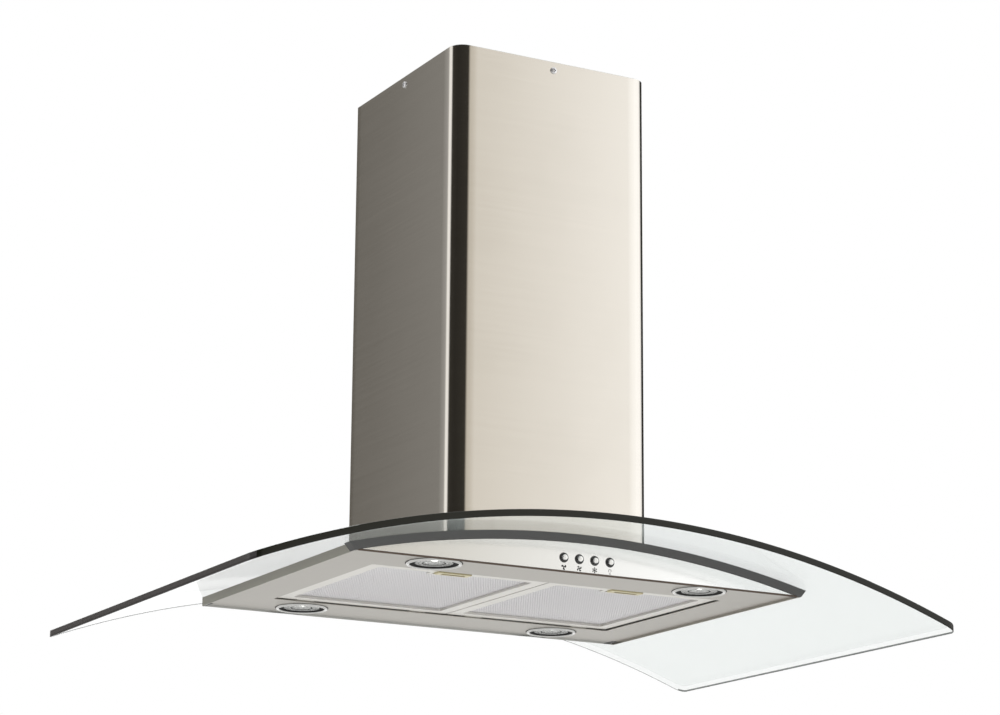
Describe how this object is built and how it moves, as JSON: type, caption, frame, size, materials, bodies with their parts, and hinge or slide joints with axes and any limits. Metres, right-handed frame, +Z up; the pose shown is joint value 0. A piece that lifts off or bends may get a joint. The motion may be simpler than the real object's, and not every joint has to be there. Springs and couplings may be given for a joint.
{
  "type": "curved glass range hood",
  "caption": "Ceiling-hung kitchen range hood: square brushed-steel flue cover on a bent clear-glass canopy over a flat filter body with buttons and lamps.",
  "frame": {"origin": "centre of the ceiling plate's upper face, on the ceiling plane", "axes": "+Z up to the ceiling, -Y the side with the buttons, +X to the right of a person who faces the buttons"},
  "size_m": [0.9, 0.6, 0.6779],
  "materials": {
    "canopy_glass": "clear bent glass",
    "stainless": "fine brushed",
    "galvanised": "galvanised",
    "zinc_steel": "zinc plated",
    "chrome": "polished",
    "reflector": "spun",
    "filter_aluminium": "satin",
    "filter_mesh": "expanded mesh",
    "latch_brass": "passivated",
    "lamp_glass": "pressed",
    "seal_rubber": "matte",
    "dark_edging": "matte",
    "black_plastic": "semi gloss",
    "grey_plastic": "moulded",
    "white_plastic": "moulded",
    "motor_enamel": "enamel"
  },
  "bodies": {
    "hood": {"blower_box": "galvanised", "bottom_pan": "stainless", "button_bezels": "black_plastic", "cable_gland": "black_plastic", "capacitor": "white_plastic", "ceiling_frame": "galvanised", "clamp_bolts": "zinc_steel", "clamp_washers": "zinc_steel", "damper_pins": "zinc_steel", "duct_collar": "grey_plastic", "flue_cover": "stainless", "flue_screws": "zinc_steel", "front_edge_trim": "dark_edging", "front_fascia": "stainless", "front_seal": "seal_rubber", "glass_canopy": "canopy_glass", "glass_pads": "seal_rubber", "hanger_posts": "galvanised", "inlet_ring": "grey_plastic", "lamp_bulbs": "lamp_glass", "lamp_cup_front_left": "reflector", "lamp_cup_front_right": "reflector", "lamp_cup_rear_left": "reflector", "lamp_cup_rear_right": "reflector", "lamp_driver": "white_plastic", "lamp_lens_front_left": "lamp_glass", "lamp_lens_front_right": "lamp_glass", "lamp_lens_rear_left": "lamp_glass", "lamp_lens_rear_right": "lamp_glass", "lamp_ring_front_left": "chrome", "lamp_ring_front_right": "chrome", "lamp_ring_rear_left": "chrome", "lamp_ring_rear_right": "chrome", "motor": "motor_enamel", "rear_fascia": "stainless", "rear_seal": "seal_rubber", "scroll_housing": "grey_plastic", "switch_block": "black_plastic", "terminal_box": "black_plastic", "top_deck": "stainless"},
    "button_1": {"button_cap_1": "chrome"},
    "button_2": {"button_cap_2": "chrome"},
    "button_3": {"button_cap_3": "chrome"},
    "button_4": {"button_cap_4": "chrome"},
    "flap_left": {"damper_flap_left": "grey_plastic"},
    "flap_right": {"damper_flap_right": "grey_plastic"},
    "filter_left": {"filter_frame_left": "filter_aluminium", "filter_mesh_left": "filter_mesh"},
    "filter_right": {"filter_frame_right": "filter_aluminium", "filter_mesh_right": "filter_mesh"},
    "latch_left": {"filter_latch_left": "latch_brass"},
    "latch_right": {"filter_latch_right": "latch_brass"},
    "fan": {"impeller": "galvanised", "motor_shaft": "zinc_steel"}
  },
  "joints": [
    {"name": "fan_spin", "type": "hinge", "parent": "hood", "child": "fan", "pos_m": [0, 0.028, -0.513], "axis": [1, 0, 0], "continuous": true},
    {"name": "damper_left_open", "type": "hinge", "parent": "hood", "child": "flap_left", "pos_m": [-0.004, 0, -0.3965], "axis": [0, 1, 0], "range_deg": [0, 80]},
    {"name": "damper_right_open", "type": "hinge", "parent": "hood", "child": "flap_right", "pos_m": [0.004, 0, -0.3965], "axis": [0, -1, 0], "range_deg": [0, 80]},
    {"name": "button_1_press", "type": "slide", "parent": "hood", "child": "button_1", "axis": [0, 1, 0], "range_m": [0, 0.002], "stiffness_N_per_m": 400},
    {"name": "button_2_press", "type": "slide", "parent": "hood", "child": "button_2", "axis": [0, 1, 0], "range_m": [0, 0.002], "stiffness_N_per_m": 400},
    {"name": "button_3_press", "type": "slide", "parent": "hood", "child": "button_3", "axis": [0, 1, 0], "range_m": [0, 0.002], "stiffness_N_per_m": 400},
    {"name": "button_4_press", "type": "slide", "parent": "hood", "child": "button_4", "axis": [0, 1, 0], "range_m": [0, 0.002], "stiffness_N_per_m": 400},
    {"name": "filter_left_swing", "type": "hinge", "parent": "hood", "child": "filter_left", "pos_m": [-0.114, 0.131, -0.6346], "axis": [1, 0, 0], "range_deg": [0, 75]},
    {"name": "latch_left_slide", "type": "slide", "parent": "filter_left", "child": "latch_left", "axis": [0, 1, 0], "range_m": [0, 0.006], "stiffness_N_per_m": 300},
    {"name": "filter_right_swing", "type": "hinge", "parent": "hood", "child": "filter_right", "pos_m": [0.114, 0.131, -0.6346], "axis": [1, 0, 0], "range_deg": [0, 75]},
    {"name": "latch_right_slide", "type": "slide", "parent": "filter_right", "child": "latch_right", "axis": [0, 1, 0], "range_m": [0, 0.006], "stiffness_N_per_m": 300}
  ]
}
